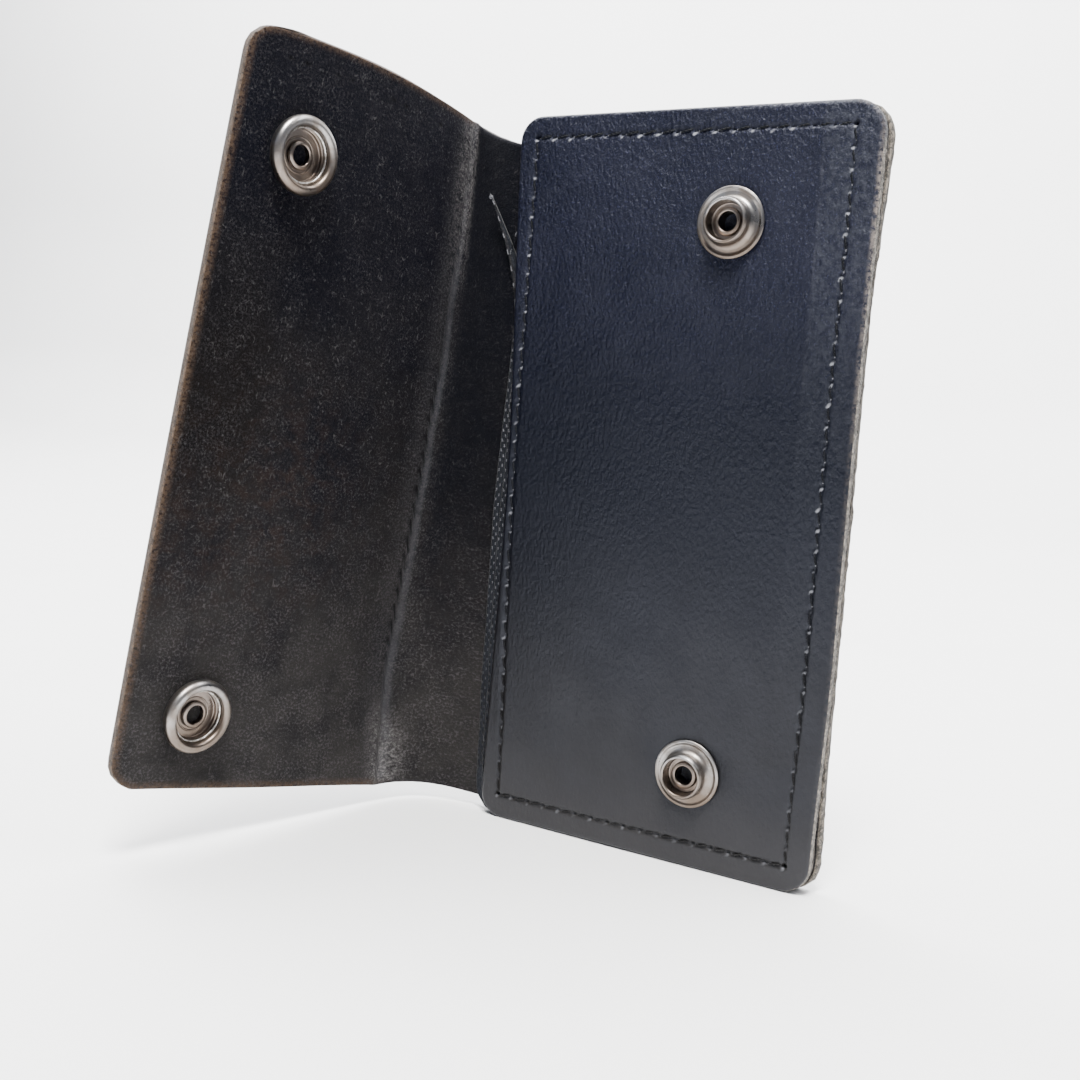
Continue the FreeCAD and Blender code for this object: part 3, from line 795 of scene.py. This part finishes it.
def hole_lips(x, z):
    """Painted glints beside the awl holes, 0 to 1: a pale slanted spot just below each hole."""
    dice = np.random.default_rng(17)
    lips = np.zeros_like(x)
    for holes in seam_holes():
        for hx, hz in holes:
            dx, dz = dice.normal(0, 0.12, 2)
            strength = dice.uniform(0.35, 1.0)
            near = (np.abs(x - hx) < 2.0) & (np.abs(z - hz) < 2.0)
            along, beside = x[near] - hx - dx + 0.15, z[near] - hz - dz + 0.62
            reach = np.hypot((along + beside) / 0.85, (along - beside) / 0.50)
            lips[near] = np.maximum(lips[near], strength * np.exp(-reach ** 2))
    return lips


def panel_surface(x, z):
    """How far the panel's face lies behind flat: stitch groove, awl holes, snap seats, unevenness."""
    sink = np.zeros_like(x)
    left = np.abs(x - left_seam(z))
    rows = [(left, z, SEAM_BOTTOM, SEAM_TOP), (np.abs(x - right_seam(z)), z, SEAM_BOTTOM, SEAM_TOP),
            (np.abs(z - SEAM_TOP), x, SEAM_LEFT, right_seam(SEAM_TOP)),
            (np.abs(z - SEAM_BOTTOM), x, SEAM_LEFT, right_seam(SEAM_BOTTOM))]
    for off, run, low, high in rows:
        inside = smooth((run - low + 0.8) / 0.8) * smooth((high + 0.8 - run) / 0.8)
        sink = np.maximum(sink, GROOVE_DEPTH * np.exp(-(off / GROOVE_HALF) ** 2) * inside)
    for holes in seam_holes():
        for hx, hz in holes:
            near = (np.abs(x - hx) < 2.2) & (np.abs(z - hz) < 2.2)
            reach = np.hypot(x[near] - hx, z[near] - hz)
            sink[near] += HOLE_DEPTH * np.exp(-(reach / HOLE_R) ** 2)
    for sx, sz in SNAP_SPOTS:
        reach = np.hypot(x - sx, z - sz)
        sink += 0.28 * np.exp(-((reach - 7.6) / 1.7) ** 2) + 1.8 * (reach < 2.5)
    quiet = 1 - sum(np.exp(-(np.hypot(x - sx, z - sz) / 9.0) ** 4) for sx, sz in SNAP_SPOTS)
    return sink + 0.16 * waves(x, z, 38.0, 11) * np.clip(quiet, 0, 1)


def front_panel():
    columns = grid_lines(WIDTH, 0.62, (SEAM_LEFT, SEAM_RIGHT))
    rows = grid_lines(HEIGHT, 0.6, (SEAM_BOTTOM, SEAM_TOP))
    x0, z = np.meshgrid(columns, rows, indexing="ij")
    inset, inset_left = corner_inset(z, CORNER_R), corner_inset(z, PANEL_LEFT_R)
    bow, free = panel_bow(z), WIDTH + free_bulge(z)
    near_left = np.clip(1 - x0 / BOW_REACH, 0, 1)
    near_right = np.clip(1 - (WIDTH - x0) / BULGE_REACH, 0, 1)
    x = x0 + bow * near_left + (free - WIDTH) * near_right
    left, right = bow + inset_left, free - inset
    squeeze = np.clip(1 - np.minimum(x - bow, free - x) / CORNER_REACH, 0, 1)
    x = x + np.where(x0 < WIDTH / 2, inset_left, -inset) * squeeze
    distance = rim_distance(x - bow, free - x, np.minimum(z, HEIGHT - z), PANEL_LEFT_R, CORNER_R)
    rim = np.zeros(distance.shape, bool)
    rim[0], rim[-1], rim[:, 0], rim[:, -1] = True, True, True, True
    distance[rim] = 0
    x = np.clip(x, left, right)
    face = edge_drop(distance, 0.8) + panel_surface(x, z) * smooth(distance / 1.2)
    front = np.stack([x, face, z], -1)
    back = np.stack([x, np.full_like(x, PANEL_T) - edge_drop(distance, 0.15), z], -1)
    worn = smooth((x - WIDTH + 12) / 10) * (0.30 + 0.62 * smooth((HEIGHT - 3 - z) / 9))
    worn = np.clip(worn + 0.12 * waves(x, z, 9.0, 21) * (x > WIDTH / 2), 0, 1)
    materials = [panel_leather(), thin_leather(),
                 raw_edge("panel_edge", (0.012, 0.013, 0.017), (0.235, 0.205, 0.170))]
    # the values below carry painted glints beside the awl holes
    piece = leather_sheet("front_leather", front, back, np.stack([x, z], -1), distance, worn, materials,
                          rings=5, fuzz=0.13, seed=4, plain_back=True, band=PANEL_WORN_BAND,
                          lip=hole_lips(x, z))
    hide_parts("front_panel")
    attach(piece, "back")


def leaf(name, node, y, thickness, out, seed, material, edge):
    """A thin sheet of the stack; out is how far its lower part fans out past the panel."""
    columns, rows = grid_lines(WIDTH, 4.0), grid_lines(HEIGHT, 2.2)
    share, z = np.meshgrid(columns / WIDTH, rows, indexing="ij")
    inset = corner_inset(z, CORNER_R)
    fan = out * smooth((158 - z) / 88) * (0.72 + 0.28 * smooth(z / 60))
    left = 0.6 + panel_bow(z) * 0.85 - fan + inset * 0.7 + 0.2 * waves(z, 0 * z, 17.0, seed)
    right = WIDTH + free_bulge(z) - 0.25 - inset + 0.28 * waves(z, 0 * z, 9.0, seed + 1)
    x = left + (right - left) * share
    lean = LEAF_LEAN * np.clip(-x, 0, None)
    distance = rim_distance(x - left, right - x, np.minimum(z, HEIGHT - z), 1.0, 1.0)
    soft = edge_drop(distance, thickness * 0.3)
    ripple = 0.12 * waves(z, x, 13.0, seed + 2) * smooth(1 - x / 9.0)
    front = np.stack([x, y - lean + ripple + soft, z], -1)
    back = np.stack([x, y + thickness - lean + ripple - soft, z], -1)
    worn = smooth((x - WIDTH + 8) / 8) * 0.62
    piece = leather_sheet(name, front, back, np.stack([x, z], -1), distance, worn,
                          [material, material, edge], rings=2, fuzz=0.05, seed=seed)
    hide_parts(node)
    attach(piece, "back")
    return left[0], rows


# --- thread ---
def strand(path, radius, turns, sides):
    """Two twisted plies along a path of points, as (points, faces)."""
    count = len(path)
    tangent = np.gradient(path, axis=0)
    tangent /= np.linalg.norm(tangent, axis=1, keepdims=True)
    up = np.cross(tangent, [0.0, 1.0, 0.001])
    up /= np.linalg.norm(up, axis=1, keepdims=True)
    side = np.cross(tangent, up)
    points, faces = [], []
    for ply in (0, math.pi):
        turn = ply + np.linspace(0, 2 * math.pi * turns, count)[:, None]
        middle = path + radius * 0.48 * (np.cos(turn) * up + np.sin(turn) * side)
        first = sum(len(p) for p in points)
        for k in range(sides):
            angle = 2 * math.pi * k / sides
            points.append(middle + radius * 0.56 * (math.cos(angle) * up + math.sin(angle) * side))
        for k in range(sides):
            a, b = first + k * count, first + (k + 1) % sides * count
            faces += [(a + i, b + i, b + i + 1, a + i + 1) for i in range(count - 1)]
        faces.append([first + k * count for k in range(sides)])
        faces.append([first + k * count + count - 1 for k in reversed(range(sides))])
    return np.concatenate(points), faces


class Threadwork:
    """Many short strands as one mesh."""

    def __init__(self):
        self.points, self.faces, self.slots, self.count = [], [], [], 0

    def lay(self, made, slots):
        """Add a strand, with the material slot of each of its faces, or one slot for all."""
        points, faces = made
        self.faces += [[v + self.count for v in face] for face in faces]
        self.slots += slots if isinstance(slots, list) else [slots] * len(faces)
        self.points.append(points)
        self.count += len(points)

    def piece(self, name, materials):
        made = make_mesh(name, np.concatenate(self.points), self.faces, materials, self.slots)
        return made


def sewn(name, node, runs, radius, surface, out, materials, slant=0.0, dip=0.55, bare=STITCH_GAP, paler=0):
    """Stitches between neighbouring holes of each run; out is -1 or 1, the way the face looks in Y.

    bare is the length without thread at each end, and the last argument gives how many of a stitch's 14
    lengths, from its start, take the pale thread: a painted glint where the stitch leaves its hole.
    """
    work = Threadwork()
    sides, lengths = 7, 14
    # the first lengths of each stitch and its starting cap take the pale thread: a painted glint at the hole
    slots = ([int(i < paler) for i in range(lengths)] * sides + [int(paler > 0), 0]) * 2
    t = np.linspace(0, 1, lengths + 1)
    arch = np.clip(np.sin(math.pi * t), 0, 1) ** 0.35
    for holes in runs:
        for (ax, az), (bx, bz) in zip(holes, holes[1:]):
            run = np.array([bx - ax, bz - az])
            run_length = np.linalg.norm(run)
            beside = np.array([-run[1], run[0]]) / run_length
            gap = bare / run_length
            place_t = gap + t * (1 - 2 * gap)
            x = ax + run[0] * place_t + beside[0] * slant * (t - 0.5)
            z = az + run[1] * place_t + beside[1] * slant * (t - 0.5)
            y = surface(x, z) + out * (radius * 0.55 * arch - dip * (1 - arch))
            work.lay(strand(np.column_stack([x, y, z]), radius, run_length / PLY_TURN, sides), slots)
    piece = work.piece(name, materials)
    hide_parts(node)
    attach(piece, "back")


def along_edge(edge_x, rows, low, high, inside, pitch):
    z = np.arange(low, high, pitch)
    return np.column_stack([np.interp(z, rows, edge_x) + inside, z])


# --- the corner of the inner pocket that shows beside the panel ---
GUSSET_TIP, GUSSET_LOW = np.array([-9.1, 153.7]), np.array([-0.4, 126.0])
GUSSET_BRANCH = np.array([[-2.5, 139.2], [-0.6, 146.0]])
GUSSET_Y, GUSSET_BEND = 2.75, 0.02
GUSSET_THREAD_R = 0.16
GUSSET_SIDES = 6          # of each ply of its threads


def gusset_face(x):
    """The gusset's front: it bends out of the gutter, the further it passes the panel."""
    return GUSSET_Y - GUSSET_BEND * np.clip(-x, 0, None) ** 1.6


def gusset_corner(material, edge, threads):
    """A narrow tongue with a beaded hem, a short branch of the same thread and a knot at its tip."""
    share, up = np.meshgrid(np.linspace(0, 1, 14), np.linspace(0, 1, 22), indexing="ij")
    left = GUSSET_LOW + (GUSSET_TIP - GUSSET_LOW) * np.stack([up ** 1.5, up], -1)
    right = left + np.stack([0.7 + 4.0 * (1 - up) ** 1.3, -0.8 * up], -1)
    at = left + (right - left) * share[..., None]
    x, z = at[..., 0], at[..., 1]
    y = gusset_face(x)
    distance = np.minimum(np.linalg.norm(at - left, axis=2), 2.0)
    front, back = np.stack([x, y, z], -1), np.stack([x, y + 0.4, z], -1)
    piece = leather_sheet("gusset_corner", front, back, at, distance, 0.5 + 0 * x,
                          [material, material, edge], rings=2, fuzz=0.03, seed=31)
    across_fold(piece)

    work = Threadwork()
    hem = left[0, 1:21] + [0.3, -0.1]
    low, high = GUSSET_BRANCH
    branch = low + (high - low) * np.linspace(0, 1, 6)[:, None]
    t = np.linspace(0.08, 0.92, 9)[:, None]
    for row in (hem, branch):
        ends = np.column_stack([row[:, 0], gusset_face(row[:, 0]) - 0.12, row[:, 1]])
        for number, (a, b) in enumerate(zip(ends, ends[1:])):
            path = a + (b - a) * t - np.array([0, 0.12, 0]) * np.sin(math.pi * t)
            # every third stitch of the hem and branch takes the pale thread: painted glints along the beaded
            # hem
            work.lay(strand(path, GUSSET_THREAD_R, 1.0, GUSSET_SIDES), int(number % 3 == 0))
    knot = np.array([GUSSET_TIP[0] + 0.6, gusset_face(-9.0) - 0.25, GUSSET_TIP[1] - 0.9])
    turn = np.linspace(0, 1, 15)[:, None]
    loop = knot + 0.34 * np.hstack([np.cos(9 * turn), -0.4 * turn, np.sin(9 * turn)])
    # the knot takes the pale thread: a painted glint at the tip
    work.lay(strand(loop, 0.26, 1.5, GUSSET_SIDES), 1)
    across_fold(work.piece("gusset_thread", threads))


# --- everything ---
def pocket_stack():
    thread = waxed_thread("seam_thread", (0.0022, 0.0025, 0.0036), (0.0085, 0.0095, 0.013))
    # the pale thread is a painted glint, used where stitches leave their holes and on the gusset's hem and
    # knot
    paler = waxed_thread("glint_thread", (0.032, 0.034, 0.040), (0.24, 0.24, 0.26))
    thin = thin_leather()
    edge = raw_edge("leaf_edge", (0.006, 0.006, 0.007), (0.14, 0.12, 0.10))
    front_panel()
    layers = [("lining", "panel_lining", 0.0), ("card_leaf", "card_pocket_leaf", 2.9),
              ("bill_leaf", "bill_pocket_leaf", 5.0)]
    both = [thread, paler]
    for number, (name, node, out) in enumerate(layers):
        low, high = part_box(node)
        y, thickness = low.y / MM - PANEL_LOW[1], (high.y - low.y) / MM
        left, rows = leaf(name, node, y, thickness, out, 40 + 7 * number, thin, edge)
        if out:
            runs = [along_edge(left, rows, low_end, 136.0, inside, LEAF_PITCH)
                    for low_end, inside in ((10.0, 0.4), (11.1, 1.15))]

            def face(x, z, y=y):
                return y - LEAF_LEAN * np.clip(-x, 0, None)

            sewn(f"{name}_thread", node.replace("pocket_leaf", "leaf_thread"), runs, LEAF_THREAD_R, face,
                 -1, both, 0.15, 0.25, bare=0.5, paler=7)
    sewn("front_seam", "seam_thread_front", seam_holes(), THREAD_R, lambda x, z: GROOVE_SEAT + 0 * x, -1,
         both, 0.7, 0.6, paler=2)
    outside = COVER_Y + COVER_T
    sewn("back_seam", "seam_thread_back", seam_holes()[1:], THREAD_R, lambda x, z: outside + 0 * x, 1,
         both, 0.3)
    # the gusset's edge is painted near black: painted shade on an edge that the overhead light catches
    gusset_corner(thin, raw_edge("gusset_edge", (0.003, 0.003, 0.004), (0.02, 0.02, 0.02)), both)


RECESSES = {"stud": 0.0042, "socket": 0.0061, "cap": 0.0032}    # radius of each hollow, in metres


def metal_finish():
    steel = spring_steel()
    for name, node in frame["nodes"].items():
        kind = name.split("_")[0]
        if kind in RECESSES:
            finish = worn_nickel(name, RECESSES[kind])
        elif kind == "snap":
            finish = steel
        else:
            continue
        for slot in node.material_slots:
            slot.material = finish


FLOOR_SWEEP = [(-1.2, 0.0), (0.55, 0.0), (0.72, 0.03), (0.84, 0.12), (0.90, 0.30), (0.92, 1.6)]   # y, z
FLOOR_SIDES = (-1.6, 1.6)
EYE, AIM = (169.10, -267.58, 108.27), (12.53, 0.0, 71.10)
LENS, SENSOR = 43.068, 36.0
ROLL = 3.69               # degrees


def floor():
    """Plain pale floor with a swept-up back."""
    points = [(x, y, z) for y, z in FLOOR_SWEEP for x in FLOOR_SIDES]
    faces = [(2 * i, 2 * i + 1, 2 * i + 3, 2 * i + 2) for i in range(len(FLOOR_SWEEP) - 1)]
    mesh = bpy.data.meshes.new("floor")
    mesh.from_pydata(points, [], faces)
    mesh.materials.append(pale_floor())
    mesh.polygons.foreach_set("use_smooth", [True] * len(mesh.polygons))
    made = bpy.data.objects.new("floor", mesh)
    bpy.context.scene.collection.objects.link(made)
    made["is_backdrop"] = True


def lamp(name, spot, aim, size, power, colour=(1.0, 1.0, 1.0)):
    light = bpy.data.lights.new(name, "AREA")
    light.shape = "RECTANGLE"
    light.size, light.size_y = size
    light.energy = power
    light.color = colour
    made = bpy.data.objects.new(name, light)
    made.location = spot
    made.rotation_euler = (Vector(aim) - Vector(spot)).to_track_quat("-Z", "Y").to_euler()
    bpy.context.scene.collection.objects.link(made)


def lights():
    """A small soft light overhead, a faint one in front, and two that whiten the backdrop and the floor."""
    lamp("overhead", (0.16, -0.30, 0.95), (0.0, 0.0, 0.06), (0.30, 0.30), 31.0, (1.0, 0.99, 0.97))
    lamp("front", (-0.55, -0.75, 0.45), (0.0, 0.0, 0.09), (0.7, 0.7), 1.25, (0.80, 0.88, 1.0))
    lamp("backdrop", (-0.2, 0.40, 0.95), (-0.15, 0.85, 0.30), (2.4, 0.5), 42.0)
    lamp("floor_wash", (-0.55, 0.10, 1.0), (-0.45, 0.45, 0.0), (0.9, 0.5), 22.0)
    world = bpy.data.worlds.new("studio")
    bpy.context.scene.world = world
    world.use_nodes = True
    background = world.node_tree.nodes["Background"]
    background.inputs["Color"].default_value = (0.70, 0.80, 1.0, 1.0)
    background.inputs["Strength"].default_value = 0.18


def viewpoint():
    """The camera, in front of the panel's free side and a little above its middle."""
    eye, aim = place(EYE), place(AIM)
    camera = bpy.data.objects.new("camera", bpy.data.cameras.new("camera"))
    camera.data.sensor_width = SENSOR
    camera.data.lens = LENS
    camera.data.clip_start = 0.01
    look = Vector(aim - eye).to_track_quat("-Z", "Y").to_matrix()
    camera.matrix_world = Matrix.Translation(Vector(eye)) @ (
        look @ Matrix.Rotation(math.radians(ROLL), 3, "Z")).to_4x4()
    bpy.context.scene.collection.objects.link(camera)
    bpy.context.scene.camera = camera


def main():
    cover()
    pocket_stack()
    metal_finish()
    floor()
    lights()
    viewpoint()


main()
boxes = [[list(corner) for corner in box] for box in (cad_box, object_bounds())]
